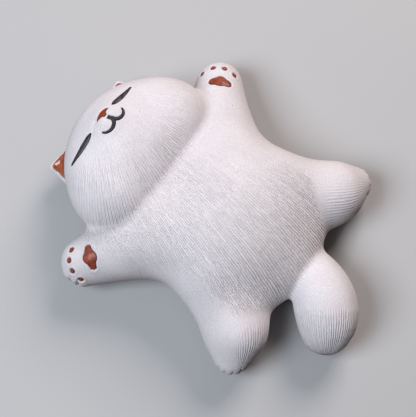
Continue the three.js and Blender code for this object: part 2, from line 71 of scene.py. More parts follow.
# %% Camera at the photograph's viewing angle
view_azimuth, view_elevation = math.radians(-54.43), math.radians(75.15)
view_distance = 283.5 * MM
looked_at = Vector((-1.098, 3.756, 13.5)) * MM
toward_camera = Vector((
    math.sin(view_azimuth) * math.cos(view_elevation),
    -math.cos(view_azimuth) * math.cos(view_elevation),
    math.sin(view_elevation),
))
camera = bpy.data.objects.new("camera", bpy.data.cameras.new("camera"))
camera.data.lens = 85
camera.data.sensor_width = 36
camera.data.clip_start = 0.01
camera.location = looked_at + toward_camera * view_distance
camera.rotation_mode = "QUATERNION"
camera.rotation_quaternion = (-toward_camera).to_track_quat("-Z", "Y")
bpy.context.scene.collection.objects.link(camera)
bpy.context.scene.camera = camera
bpy.context.scene.view_settings.view_transform = "Standard"
print("Camera stands at", [round(c, 4) for c in camera.location])

# %% [markdown]
# ## Floor and light
# The floor is a plain pale sheet. As in the photograph, a soft warm lamp lights the figure
# from its left side, a cooler one stands higher on its right, and a weak sky does the rest,
# so pale clay is lit without clipping. The floor looks pale, but throws little light back up
# at the clay, so that the figure's sides keep their shade.

# %% Floor, lamps and sky
LAMP_DISTANCE = 0.6
SKY_COLOUR, SKY_STRENGTH = (1.0, 0.88, 0.82, 1), 0.06
FLOOR_HALF_SIZE = 1.5
FLOOR_SEEN = (0.5, 0.5, 0.5, 1)
FLOOR_THROWS_BACK = (0.075, 0.058, 0.05, 1)


def lamp(name, azimuth, elevation, size, power, colour):
    """A square area lamp, turned to the figure; azimuth 0 is the cat's left, 90 its head"""
    light = bpy.data.objects.new(name, bpy.data.lights.new(name, "AREA"))
    light.data.size = size
    light.data.energy = power
    light.data.color = colour
    around, up = math.radians(azimuth), math.radians(elevation)
    level = math.cos(up)
    toward = Vector((level * math.cos(around), level * math.sin(around), math.sin(up)))
    light.location = looked_at + toward * LAMP_DISTANCE
    light.rotation_mode = "QUATERNION"
    light.rotation_quaternion = (-toward).to_track_quat("-Z", "Y")
    bpy.context.scene.collection.objects.link(light)


lamp("warm_lamp", azimuth=8, elevation=38, size=0.28, power=2.95, colour=(1.0, 0.9, 0.88))
lamp("cool_lamp", azimuth=146, elevation=52, size=0.3, power=3.15, colour=(0.84, 0.91, 1.0))

world = bpy.data.worlds.new("sky")
world.use_nodes = True
world.node_tree.nodes["Background"].inputs["Color"].default_value = SKY_COLOUR
world.node_tree.nodes["Background"].inputs["Strength"].default_value = SKY_STRENGTH
bpy.context.scene.world = world

floor_mesh = bmesh.new()
bmesh.ops.create_grid(floor_mesh, x_segments=1, y_segments=1, size=FLOOR_HALF_SIZE)
floor = bpy.data.objects.new("floor", bpy.data.meshes.new("floor"))
floor_mesh.to_mesh(floor.data)
floor_mesh.free()
bpy.context.scene.collection.objects.link(floor)
floor_paint = bpy.data.materials.new("floor_paint")
floor_paint.use_nodes = True
paint_nodes, paint_links = floor_paint.node_tree.nodes, floor_paint.node_tree.links
paint_nodes["Principled BSDF"].inputs["Roughness"].default_value = 0.9
path = paint_nodes.new("ShaderNodeLightPath")
seen = path.outputs["Is Camera Ray"]
for kind in ("Is Glossy Ray", "Is Transmission Ray"):
    either = paint_nodes.new("ShaderNodeMath")
    either.operation = "MAXIMUM"
    paint_links.new(seen, either.inputs[0])
    paint_links.new(path.outputs[kind], either.inputs[1])
    seen = either.outputs[0]
paint = paint_nodes.new("ShaderNodeMix")
paint.data_type = "RGBA"
paint.inputs["A"].default_value = FLOOR_THROWS_BACK
paint.inputs["B"].default_value = FLOOR_SEEN
paint_links.new(seen, paint.inputs["Factor"])
paint_links.new(paint.outputs["Result"], paint_nodes["Principled BSDF"].inputs["Base Color"])
floor.data.materials.append(floor_paint)
print("Lamps and floor are in place")

# %% [markdown]
# ## The clay's form
# A hand-rolled clay figure has no flat faces: its masses melt into each other. The CAD
# pieces are facets laid on such a form. The same form is written here as fields, functions
# that are negative inside the clay, so that a finer skin can be laid on it exactly.
# Sizes are in millimetres, as in the CAD source, and work on arrays of points.

# %% Soft masses as fields
FIGURE_SHIFT = np.array([0, 2.172, 0])


def point(x, y, z):
    return np.array([x, y, z], float)


def dot(a, b):
    return np.einsum("ij,ij->i", a, np.broadcast_to(b, a.shape))


def ellipsoid(centre, width, length, depth):
    """An ellipsoid with the given sizes along X, Y and Z"""
    radii = point(width, length, depth) / 2

    def field(p):
        q = (p - centre) / radii
        scaled = np.maximum(np.linalg.norm(q, axis=1), 1e-6)
        return scaled * (scaled - 1) / np.maximum(np.linalg.norm(q / radii, axis=1), 1e-9)

    return field


def round_cone(a, b, ra, rb):
    """A cone with ball ends: ball a of radius ra to ball b of radius rb"""
    axis = b - a
    length_sq = axis @ axis
    drop = ra - rb
    slope_sq = length_sq - drop * drop

    def field(p):
        q = p - a
        y = dot(q, axis)
        z = y - length_sq
        aside_sq = ((q * length_sq - np.outer(y, axis)) ** 2).sum(1)
        k = np.sign(drop) * drop * drop * aside_sq
        side = (np.sqrt(aside_sq * slope_sq / length_sq) + y * drop) / length_sq - ra
        at_b = np.sqrt(aside_sq + z * z * length_sq) / length_sq - rb
        at_a = np.sqrt(aside_sq + y * y * length_sq) / length_sq - ra
        past_b = np.sign(z) * slope_sq * z * z * length_sq > k
        before_a = np.sign(y) * slope_sq * y * y * length_sq < k
        return np.where(past_b, at_b, np.where(before_a, at_a, side))

    return field


def melt(softness, *fields):
    """Masses that flow into one another"""

    def field(p):
        values = np.array([f(p) for f in fields])
        least = values.min(0)
        return least - softness * np.log(np.exp((least - values) / softness).sum(0))

    return field


def crease(fillet, f, g):
    """Two masses that keep a crease, with a small fillet in it"""

    def field(p):
        a, b = f(p), g(p)
        near = np.maximum(fillet - np.abs(a - b), 0) / fillet
        return np.minimum(a, b) - near * near * fillet / 4

    return field


print("Fields are ready")

# %% [markdown]
# The torso is a belly, a chest and a rump, and the limbs are cones with ball ends. Left and
# right are mirror images, so a limb is a function of its side: +1 is the cat's left.

# %% Torso and limbs
SIDES = {"left": 1, "right": -1}
BASE_FLAT = 1.35
BELLY_DEPTH = 29.3
belly = ellipsoid(point(0, -5.4, BELLY_DEPTH / 2 - BASE_FLAT), 43.5, 39, BELLY_DEPTH)
chest = ellipsoid(point(0, 16.3, 10.9), 50.4, 31.8, 16.2)
rump = ellipsoid(point(0, -21.6, 9.5), 27.6, 22.6, 17.1)
LIMB_MELT = 4.2


def mirrored(p, side):
    return p * point(side, 1, 1)


def foreleg(side):
    shoulder = mirrored(point(15.6, 8.9, 11.25), side)
    paw = mirrored(point(33.7, 22.1, 8.2), side)
    field = round_cone(shoulder, paw, 9.5, 6.7)
    return {"root": shoulder, "axis_end": paw, "end": paw, "field": field}


def hind_leg(side):
    hip = mirrored(point(18, -13.4, 11.25), side)
    ankle = mirrored(point(25.2, -24.9, 9.6), side)
    toe = mirrored(point(31.1, -28.2, 7.9), side)
    thigh, foot = round_cone(hip, ankle, 8.2, 8.4), round_cone(ankle, toe, 8.4, 5.2)
    return {"root": hip, "axis_end": ankle, "end": toe, "field": melt(0.9, thigh, foot)}


forelegs = {side: foreleg(sign) for side, sign in SIDES.items()}
hind_legs = {side: hind_leg(sign) for side, sign in SIDES.items()}
body = melt(
    LIMB_MELT, belly, chest, rump,
    *[leg["field"] for leg in [*forelegs.values(), *hind_legs.values()]],
)
tail_root = point(3.8, -31, 7.2)
tail_bend = point(-3.2, -40.7, 9.9)
tail_tip = point(-9.5, -45.6, 8)


def passing(a, b, c, t):
    """The value at t of a smooth curve that passes b halfway between a and c"""
    pull = 2 * b - (a + c) / 2
    return (1 - t) ** 2 * a + 2 * t * (1 - t) * pull + t ** 2 * c


def rope(parts, centres, radii):
    """Round cones strung along a smooth curve through three balls"""
    knots = [(passing(*centres, i / parts), passing(*radii, i / parts)) for i in range(parts + 1)]
    cones = [round_cone(a, b, ra, rb) for (a, ra), (b, rb) in zip(knots, knots[1:])]
    return lambda p: np.min([cone(p) for cone in cones], axis=0)


tail = rope(18, (tail_root, tail_bend, tail_tip), (5.5, 9.1, 7.2))
print("Limbs:", len(forelegs) + len(hind_legs))

# %% [markdown]
# The head is a flat round skull with a bar of cheek and chin across its lower edge and a
# small muzzle. Each ear is a cone pinched flat.

# %% Head and ears
HEAD_X, SKULL_Y, SKULL_Z = 0.3, 33.1, 14.9
SKULL_DEPTH = 26.3
MUZZLE = point(0.6, 36.4, SKULL_Z + SKULL_DEPTH / 2 + 1.5 - 5)
skull = ellipsoid(point(HEAD_X, SKULL_Y, SKULL_Z), 38.7, 29.2, SKULL_DEPTH)
cheek_middles = [point(HEAD_X + aside, 26, SKULL_Z) for aside in (-12.7, 12.7)]
cheeks = round_cone(*cheek_middles, 12.6, 12.6)
face = melt(1.4, melt(2.7, skull, cheeks), ellipsoid(MUZZLE, 12.4, 9.4, 10))
EAR_Z, EAR_FLATNESS = 7.8, 0.5
EAR_SPLAY, EAR_TIP_RADIUS = 37, 1.3
EAR_FILLET, NECK_FILLET, TAIL_FILLET, RIM_FILLET = 2.4, 1.8, 2.0, 1.2


def ear(side):
    splay = math.radians(EAR_SPLAY)
    outward = mirrored(point(math.sin(splay), math.cos(splay), 0), side)
    tip = mirrored(point(16.8, 48.2, EAR_Z), side) - outward * EAR_TIP_RADIUS
    cone = round_cone(tip - outward * 9, tip, 7.9, EAR_TIP_RADIUS)

    def field(p):
        rounded = p.copy()
        rounded[:, 2] = EAR_Z + (p[:, 2] - EAR_Z) / EAR_FLATNESS
        return cone(rounded) * EAR_FLATNESS

    return field


ears = {side: ear(sign) for side, sign in SIDES.items()}
head = crease(EAR_FILLET, crease(EAR_FILLET, face, ears["left"]), ears["right"])
cat = crease(TAIL_FILLET, crease(NECK_FILLET, body, head), tail)


def on_floor(p):
    """The cat with its back pressed flat on the floor, with a softly rounded rim"""
    return -crease(RIM_FILLET, lambda q: -cat(q), lambda q: q[:, 2])(p)


def slope(field, p, reach=0.02):
    """How fast a field grows along each axis"""
    steps = np.eye(3) * reach
    return np.stack([(field(p + s) - field(p - s)) / (2 * reach) for s in steps], axis=1)


print("Field at the belly's middle:", on_floor(point(0, -5.4, 12)[None]).round(2))

# %% [markdown]
# ## Growing the skin
# The fired figure has one unbroken surface, while the CAD model is a set of separate
# pieces. So their meshes are first gathered and remeshed into one skin. These are the
# tools for that.

# %% Mesh tools
def merged_node(name):
    """A CAD node's triangles with their shared corners merged"""
    solid = bmesh.new()
    solid.from_mesh(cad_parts[name].data)
    bmesh.ops.remove_doubles(solid, verts=solid.verts, dist=1e-6)
    solid.normal_update()
    return solid


def add_to(target, solid):
    """Moves a mesh into another, and frees it"""
    carrier = bpy.data.meshes.new("carrier")
    solid.to_mesh(carrier)
    target.from_mesh(carrier)
    bpy.data.meshes.remove(carrier)
    solid.free()


def applied(piece):
    """Makes the result of a piece's modifiers its mesh"""
    graph = bpy.context.evaluated_depsgraph_get()
    mesh = bpy.data.meshes.new_from_object(piece.evaluated_get(graph))
    piece.modifiers.clear()
    piece.data = mesh
    return piece


def remeshed(name, solid, cell):
    """An object that covers a closed mesh with even square cells"""
    piece = bpy.data.objects.new(name, bpy.data.meshes.new(name))
    bpy.context.scene.collection.objects.link(piece)
    solid.to_mesh(piece.data)
    solid.free()
    voxels = piece.modifiers.new("voxels", "REMESH")
    voxels.mode = "VOXEL"
    voxels.voxel_size = cell * MM
    bpy.context.view_layer.update()
    return applied(piece)


print("Mesh tools are ready")

# %% [markdown]
# Copies of all the CAD pieces are swollen a little so that the hair-thin gaps between them
# close, and a voxel remesh turns them into one even skin of small squares. A cup stands
# over the vent inside the hollow body, so that the vent stays a deep dark hole and the
# hollow itself is shut off from the outside.

# %% One skin over all the CAD pieces
SKIN_CELL = 0.45
SWELL = 0.25
VENT = Vector((0, -6.228, 0)) * MM
VENT_RADIUS = 3.5
CUP_WALL, CUP_LIFT, CUP_HEIGHT = 1.5, 3, 11

swollen = bmesh.new()
for node_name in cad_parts:
    node_solid = merged_node(node_name)
    for vertex in node_solid.verts:
        vertex.co += vertex.normal * SWELL * MM
    add_to(swollen, node_solid)

cup = bmesh.new()
cup_radius = (VENT_RADIUS + CUP_WALL) * MM
cup_height = CUP_HEIGHT * MM
cup_middle = VENT + Vector((0, 0, CUP_LIFT * MM + cup_height / 2))
bmesh.ops.create_cone(
    cup, cap_ends=True, segments=32, radius1=cup_radius, radius2=cup_radius, depth=cup_height,
)
bmesh.ops.translate(cup, verts=cup.verts, vec=cup_middle)
underside = min(cup.faces, key=lambda f: f.calc_center_median().z)
bmesh.ops.inset_region(cup, faces=[underside], thickness=CUP_WALL * MM)
hollowed = bmesh.ops.extrude_discrete_faces(cup, faces=[underside])["faces"]
bmesh.ops.translate(cup, verts=hollowed[0].verts, vec=(0, 0, cup_height - CUP_WALL * MM))
add_to(swollen, cup)
skin = remeshed("skin", swollen, SKIN_CELL)
print("Skin cells:", len(skin.data.polygons))

# %% [markdown]
# The remesh lines the hollows inside with skins of their own, which nobody ever sees. Only
# the skin that hangs together with the figure's highest point is kept.

# %% Keep only the outer island of the remesh
def outer_island(mesh):
    """The points that hang together with the highest point of a mesh"""
    mesh.verts.ensure_lookup_table()
    start = max(mesh.verts, key=lambda v: v.co.z)
    seen, waiting = {start}, [start]
    while waiting:
        reached = waiting.pop()
        for link in reached.link_edges:
            other = link.other_vert(reached)
            if other not in seen:
                seen.add(other)
                waiting.append(other)
    return seen


grown = bmesh.new()
grown.from_mesh(skin.data)
kept = outer_island(grown)
bmesh.ops.delete(grown, geom=[v for v in grown.verts if v not in kept], context="VERTS")
print("Outer skin:", len(grown.verts), "points")

# %% [markdown]
# The pits need finer cells than the belly does, so the cells near each glazed piece are cut
# in four, twice. A search tree of each glazed piece tells how near a point of the skin is.

# %% Finer cells around the glaze
CLAY = [
    "torso", "head", "ear_left", "ear_right", "foreleg_left", "foreleg_right",
    "hind_leg_left", "hind_leg_right", "tail",
]
GLAZE = [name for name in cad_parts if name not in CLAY]


def tree_of(name):
    """A search tree of a CAD node"""
    solid = merged_node(name)
    tree = BVHTree.FromBMesh(solid)
    solid.free()
    return tree


glaze_trees = {name: tree_of(name) for name in GLAZE}


def near_glaze(place, reach):
    return any(tree.find_nearest(place, reach * MM)[0] for tree in glaze_trees.values())


def refine(mesh, reach):
    """Cuts in four each cell that lies within reach of a glazed piece"""
    near = [f for f in mesh.faces if near_glaze(f.calc_center_median(), reach)]
    edges = list(dict.fromkeys(e for f in near for e in f.edges))
    bmesh.ops.subdivide_edges(mesh, edges=edges, cuts=1, use_grid_fill=True)


refine(grown, 1.2)
refine(grown, 0.8)
print("Refined skin:", len(grown.verts), "points,", len(grown.faces), "cells")

# %% [markdown]
# ## Laying the skin on the form
# Each point of the skin now walks down the field's slope until the field is zero. Three
# steps bring it to a few thousandths of a millimetre. The skin is held a hair inside the
# CAD's surface, so it never leaves the CAD's box. The vent's wall stays as remeshed.

# %% Walk every point on to the form
HELD_INSIDE = 0.06
STEPS = 3
VENT_RIM, VENT_TOP = 0.6, 16


def walk(p, field, level):
    """Moves points along a field's slope until it has the given level"""
    for _ in range(STEPS):
        rise = slope(field, p)
        miss = field(p) - level
        p = p - rise * (miss / np.maximum(dot(rise, rise), 1e-6))[:, None]
    return p


skin_points = np.array([v.co for v in grown.verts]) / MM - FIGURE_SHIFT
vent_middle = np.array(VENT) / MM - FIGURE_SHIFT
from_vent = np.linalg.norm((skin_points - vent_middle)[:, :2], axis=1)
in_vent = (from_vent < VENT_RADIUS + VENT_RIM) & (skin_points[:, 2] < VENT_TOP)
free = ~in_vent
skin_points[free] = walk(skin_points[free], on_floor, -HELD_INSIDE)
skin_points[:, 2] = np.maximum(skin_points[:, 2], 0)
print("Walked", int(free.sum()), "points; left", int(in_vent.sum()), "in the vent")

# %% [markdown]
# ## Carving
# The maker presses the pits of the pads and the ears with a ball tool, scratches the closed
# eyes and the mouth, and fills all of these with glaze. To carve such a pit, each point of
# the skin has to know how far it lies from the glaze's outline. That is measured to the
# upright walls of the glaze's CAD solid.

# %% Distance to a glaze's outline
FAR = 2.0
LEVEL_FACE = 0.8


def nodes_of(kind):
    return [name for name in GLAZE if name.startswith(kind)]


def outline_of(name):
    """Search trees of a glazed CAD solid: all of it, and only its upright walls"""
    solid = merged_node(name)
    everything = BVHTree.FromBMesh(solid)
    centres = np.array([f.calc_center_median() for f in solid.faces]) / MM - FIGURE_SHIFT
    up = upward(centres)
    lying = [f for f, n in zip(solid.faces, up) if abs(f.normal.dot(Vector(n))) > LEVEL_FACE]
    bmesh.ops.delete(solid, geom=lying, context="FACES")
    walls = BVHTree.FromBMesh(solid)
    solid.free()
    return everything, walls


def upward(p):
    """The direction straight out of the clay at each point"""
    rise = slope(cat, p)
    return rise / np.maximum(np.linalg.norm(rise, axis=1), 1e-6)[:, None]


def from_outline(name, p):
    """Signed distance of each point to a glaze's outline: below zero inside it"""
    everything, walls = outline_of(name)
    distance = np.full(len(p), FAR)
    corners = np.array([v.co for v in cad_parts[name].data.vertices]) / MM - FIGURE_SHIFT
    near = np.all((p > corners.min(0) - FAR) & (p < corners.max(0) + FAR), axis=1).nonzero()[0]
    for i, up in zip(near, upward(p[near])):
        place = Vector((p[i] + FIGURE_SHIFT) * MM)
        to_wall = walls.find_nearest(place)[3] / MM
        exit_normal = everything.ray_cast(place, Vector(up), FAR * MM)[1]
        inside = exit_normal is not None and exit_normal.dot(Vector(up)) > 0
        distance[i] = -to_wall if inside else to_wall
    return np.clip(distance, -FAR, FAR)


def ramp(low, high, x):
    """0 below low, 1 above high, smooth between"""
    t = np.clip((x - low) / (high - low), 0, 1)
    return t * t * (3 - 2 * t)


print("Glazed pieces:", len(GLAZE))

# %% [markdown]
# Each pit is as deep as its kind asks, and its rim rolls over softly. The clay that a ball
# tool presses out of a pad's pit stands around it as a faint lip.

# %% Pits for the glaze
# Depth, width of the rolled rim, and reach past the glaze's CAD outline
PIT_WALL = 0.3
LIP, LIP_AWAY, LIP_WIDTH = 0.09, 0.5, 0.3
PITS = {
    "palm_pad": (0.55, 0.22, 0.12),
    "toe_pad": (0.45, 0.2, 0.14),
    "ear_lining": (0.95, 0.2, 0.3),
    "nose": (0.3, 0.15, 0.2),
    "mouth": (0.3, 0.15, 0.1),
    "eye": (0.3, 0.15, 0.22),
}
carved = np.zeros(len(skin_points))
lips = np.zeros(len(skin_points))
for kind, (depth, rim, past) in PITS.items():
    for node_name in nodes_of(kind):
        away = from_outline(node_name, skin_points) - past
        carved = np.maximum(carved, depth * (1 - ramp(-PIT_WALL, rim, away)))
        if kind in ("palm_pad", "toe_pad"):
            lips = np.maximum(lips, LIP * np.exp(-(((away - LIP_AWAY) / LIP_WIDTH) ** 2)))
carved -= lips
print("Deepest pit:", carved.max().round(2), "mm")

# %% [markdown]
# The toes are only hinted at: short grooves pressed over the tip of each hind foot, and two
# on the far side of the right paw, where the toes between them swell a little. Two small
# round whisker mounds swell under the nose, and a soft dent runs from it to the right eye.

# %% Toe grooves and whisker mounds
UNCARVED = 0.02
TOE_TURNS = (-62, -36, -10, 18, 50)
PAW_SWELL_TURNS, PAW_NOTCH_TURNS = (24, 46, 70), (35, 57)
DENT_FROM, DENT_TO = point(-2.3, 39.3, 0), point(-5.6, 38.5, 0)
WHISKER_ASIDE, WHISKER_RADIUS, WHISKER_HEIGHT = (-2.0, 2.2), 1.3, 0.2


def groove(p, limb, turn, depth, width):
    """An upright groove over a limb's tip, at a turn in degrees from the limb's direction"""
    reach = limb["end"] - limb["root"]
    angle = math.atan2(reach[1], reach[0]) + math.radians(turn)
    along = point(math.cos(angle), math.sin(angle), 0)
    across = point(-math.sin(angle), math.cos(angle), 0)
    q = p - limb["end"]
    front = ramp(2.2, 4.0, q @ along)
    low = 1 - ramp(0.5, 3.5, q[:, 2])
    return depth * np.exp(-((q @ across) / width) ** 2) * front * low


def dent(p, start, end, depth, width):
    """A soft straight dent seen from above, which fades out down the sides"""
    reach = (end - start)[:2]
    q = p[:, :2] - start[:2]
    share = np.clip(q @ reach / (reach @ reach), 0, 1)
    away = np.linalg.norm(q - np.outer(share, reach), axis=1)
    return depth * np.exp(-((away / width) ** 2)) * ramp(7, 13, p[:, 2])


for side, leg in hind_legs.items():
    for turn in TOE_TURNS:
        carved += groove(skin_points, leg, -SIDES[side] * turn, depth=0.5, width=0.32)
for turn in PAW_SWELL_TURNS:
    carved -= groove(skin_points, forelegs["right"], turn, depth=0.3, width=1.5)
for turn in PAW_NOTCH_TURNS:
    carved += groove(skin_points, forelegs["right"], turn, depth=0.9, width=0.4)
carved += dent(skin_points, DENT_FROM, DENT_TO, depth=0.34, width=0.9) * (carved < UNCARVED)

for aside in WHISKER_ASIDE:
    mound = point(MUZZLE[0] + aside, 36.9, SKULL_Z + 14)
    away = np.linalg.norm((skin_points - mound)[:, :2], axis=1)
    swell = WHISKER_HEIGHT * np.exp(-((away / WHISKER_RADIUS) ** 2))
    carved -= swell * (skin_points[:, 2] > SKULL_Z) * (carved < UNCARVED)

carved_points = skin_points - upward(skin_points) * (carved * free)[:, None]
lowest, highest = [np.array(corner) / MM - FIGURE_SHIFT for corner in cad_box]
carved_points = np.clip(carved_points, lowest, highest)
for v, p in zip(grown.verts, (carved_points + FIGURE_SHIFT) * MM):
    v.co = p
grown.normal_update()
skin_normal = grown.verts.layers.float_vector.new("skin_normal")
for v in grown.verts:
    v[skin_normal] = v.normal
print("Carved skin reaches up to", carved_points[:, 2].max().round(2), "mm")

# %% [markdown]
# ## Cutting the skin back into pieces
# The real limbs, head and ears are separate lumps of clay, luted on with slip and smoothed
# over, so no seam shows. The skin is cut along the CAD's seams: where a seam's field crosses
# zero, cells are split exactly there. Every cut edge then turns inward and is closed, and
# the points keep the whole skin's normals, so that the pieces shade as one body.

# %% Cut along a field
SNAP = 0.15


def places(mesh):
    """The points of a mesh in the fields' millimetres"""
    return np.array([v.co for v in mesh.verts]) / MM - FIGURE_SHIFT


def cut_apart(mesh, field):
    """Splits a mesh where a field crosses zero: the part below zero, and the rest"""
    mesh.verts.index_update()
    value = dict(zip(mesh.verts, field(places(mesh))))
    crossing = [e for e in mesh.edges if value[e.verts[0]] * value[e.verts[1]] < 0]
    # A list and not a set: the points' order decides which cells are split first, and a set
    # has another order in every run
    on_cut = []
    for e in crossing:
        a, b = e.verts
        if value[a] * value[b] >= 0:
            continue
        share = value[a] / (value[a] - value[b])
        if SNAP < share < 1 - SNAP:
            continue
        moved, other, part = (a, b, share) if share <= SNAP else (b, a, 1 - share)
        moved.co = moved.co.lerp(other.co, part)
        value[moved] = 0
        on_cut.append(moved)
    for e in crossing:
        a, b = e.verts
        if value[a] * value[b] < 0:
            middle = bmesh.utils.edge_split(e, a, value[a] / (value[a] - value[b]))[1]
            value[middle] = 0
            on_cut.append(middle)
    bmesh.ops.connect_verts(mesh, verts=on_cut)
    mesh.faces.index_update()
    below = {f.index for f in mesh.faces if sum(value[v] for v in f.verts) < 0}
    parts = mesh.copy(), mesh
    for part, keeps_below in zip(parts, (True, False)):
        part.faces.index_update()
        unwanted = [f for f in part.faces if (f.index in below) != keeps_below]
        bmesh.ops.delete(part, geom=unwanted, context="FACES")
    return parts


print("Cutting tool is ready")

# %% [markdown]
# The head meets the body along the crease between them, each ear meets the head where it
# was seated, and limbs and tail meet the body at upright planes, as in the CAD. The tail is
# cut off first, because the planes of the hind legs would run on through it.

# %% Nine lumps of clay
EAR_SEAT = 0.5
TAIL_SEAM, TAIL_REACH = 32.8, 21
FORELEG_SEAM = {"reach": 9.5, "yaw": 18}
HIND_LEG_SEAM = {"reach": 4, "yaw": -29}


def seam_plane(limb, side, reach, yaw):
    """An upright plane across a limb's axis, so far from its root"""
    axis = limb["axis_end"] - limb["root"]
    middle = limb["root"] + axis / np.linalg.norm(axis) * reach
    turn = math.radians(yaw)
    facing = point(side * math.cos(turn), math.sin(turn), 0)
    return lambda p: -((p - middle) @ facing)


# The hind feet reach as low as the tail's root does, so its seam is bounded sideways
seams = {"tail": lambda p: np.maximum(p[:, 1] + TAIL_SEAM, np.abs(p[:, 0]) - TAIL_REACH)}
for side, sign in SIDES.items():
    seams[f"foreleg_{side}"] = seam_plane(forelegs[side], sign, **FORELEG_SEAM)
    seams[f"hind_leg_{side}"] = seam_plane(hind_legs[side], sign, **HIND_LEG_SEAM)

pieces = {}
head_part, rest = cut_apart(grown, lambda p: face(p) - body(p))
for side in SIDES:
    ear_field = ears[side]
    pieces[f"ear_{side}"], head_part = cut_apart(
        head_part, lambda p: (ear_field(p) - face(p)) / 2 + EAR_SEAT,
    )
pieces["head"] = head_part
for name, seam in seams.items():
    pieces[name], rest = cut_apart(rest, seam)
pieces["torso"] = rest
print({name: len(mesh.faces) for name, mesh in pieces.items()})

# %% [markdown]
# ## Comb strokes
# The maker drags a fine comb over the damp clay: from chin to tail on the belly, outward
# from the mouth over cheeks and chin, and lengthwise on the legs and the tail. Every point
# of the skin is given comb coordinates: how far across the strokes it lies, how far along
# them, and how strongly they show. On the head the strokes fan out, so a third value says
# how often they have doubled in number.

# %% Comb coordinates of head and torso
# The hubs that strokes fan out from, and how far from them they have the comb's own pitch
HEAD_HUB, HEAD_FAN = point(4.6, 46, 27), 12
BODY_HUB, BODY_FAN = point(16, 80, 0), 85
BELLY_ROUND = 25
MOUTH = point(MUZZLE[0], 36, 29)


def fade(low, high, x):
    return 1 - ramp(low, high, x)


def comb_head(p):
    """Strokes that fan out from the crown, start around the mouth and deepen at the chin"""
    q = p - HEAD_HUB
    angle = np.arctan2(q[:, 0], -q[:, 1])
    reach = np.maximum(np.linalg.norm(q, axis=1), 1)
    from_mouth = np.linalg.norm(p - MOUTH, axis=1)
    chin_side = ramp(-2, 4, MOUTH[1] - p[:, 1])
    depth = 0.5 * ramp(3.5, 8, from_mouth) + 0.45 * ramp(11, 19, from_mouth)
    depth += 0.8 * fade(4, 14, np.abs(p[:, 0] - 1)) * fade(17, 27, p[:, 1])
    left_cheek = ramp(5, 15, p[:, 0])
    share = depth * chin_side * (1 - 0.55 * left_cheek) * ramp(2, 9, p[:, 2])
    return angle * HEAD_FAN, reach, np.log2(reach / HEAD_FAN), share


def comb_torso(p):
    """Strokes from chin to tail, nearly smooth on the left of the chest and at the flanks"""
    unrolled = p[:, 0] * (1 + (p[:, 0] / BELLY_ROUND) ** 2 / 6)
    angle = np.arctan2(unrolled - BODY_HUB[0], BODY_HUB[1] - p[:, 1])
    reach = np.hypot(unrolled - BODY_HUB[0], BODY_HUB[1] - p[:, 1])
    smooth_chest = ramp(0, 16, p[:, 0]) * ramp(-14, 4, p[:, 1])
    right_foreleg = ramp(-2, 8, p[:, 1]) * (p[:, 0] < 0)
    toward_tail = 1 + 0.6 * fade(-24, -2, p[:, 1])
    tail_root = fade(9, 14, np.abs(p[:, 0])) * fade(-33, -28.5, p[:, 1])
    share = (1 - 0.8 * smooth_chest) * fade(19, 26, np.abs(p[:, 0]) - 7 * right_foreleg)
    share *= 1 - 0.8 * tail_root
    return angle * BODY_FAN, reach, 0 * angle, share * toward_tail * ramp(3, 9, p[:, 2])


print("Strokes fan out from", HEAD_HUB, "on the head and from", BODY_HUB, "on the torso")

# %% [markdown]
# Strokes on the tail and the hind legs run lengthwise, around the limb's own axis. The
# belly's strokes run on over each thigh before the leg's own begin. The forelegs are combed
# with the torso, and the ears are smooth.

# %% Comb coordinates of limbs and tail
LIMB_ROUND = 8
# How strongly a hind leg's own strokes show, and at which share of its length they begin
HIND_STROKES = {"left": (0.42, 0.3), "right": (0.9, 0.5)}


def comb_limb(limb, strength, start, stop, side=0):
    """Lengthwise strokes between two shares of a limb's length, all around or on one side"""
    axis = limb["end"] - limb["root"]
    length = np.linalg.norm(axis)
    axis = axis / length
    over = np.cross(np.cross(axis, (0, 0, 1)), axis)
    aside = np.cross(axis, over)

    def comb(p):
        q = p - limb["root"]
        turn = np.arctan2(q @ aside, q @ over)
        on_side = ramp(-0.2, 0.8, turn * side) if side else 1
        along = q @ axis
        band = ramp(start - 0.25, start, along / length) * fade(stop, stop + 0.25, along / length)
        return turn * LIMB_ROUND, along, 0 * turn, strength * band * on_side * ramp(1.5, 6, p[:, 2])

    return comb


def comb_hind(leg, strength, change, side):
    """The belly's strokes run on over the thigh up to a share of the leg; then come its own"""
    own = comb_limb(leg, strength, change + 0.25, 1.3, side)
    axis = leg["end"] - leg["root"]

    def comb(p):
        along = (p - leg["root"]) @ axis / (axis @ axis)
        *belly_place, belly_share = comb_torso(p)
        *own_place, own_share = own(p)
        before = along < change
        belly_share = belly_share * fade(change - 0.15, change, along)
        values = zip([*belly_place, belly_share], [*own_place, own_share])
        return [np.where(before, a, b) for a, b in values]

    return comb


def comb_nothing(p):
    """No strokes, for a piece that is smoothed with a wet finger"""
    none = np.zeros(len(p))
    return none, none, none, none


combs = {"head": comb_head, "torso": comb_torso}
tail_axis = {"root": tail_bend, "end": tail_tip + (tail_tip - tail_bend) * 0.8}
combs["tail"] = comb_limb(tail_axis, strength=0.9, start=0.25, stop=1.2)
for side, sign in SIDES.items():
    combs[f"foreleg_{side}"] = comb_torso
    combs[f"hind_leg_{side}"] = comb_hind(hind_legs[side], *HIND_STROKES[side], sign)
print("Combed pieces:", sorted(combs))
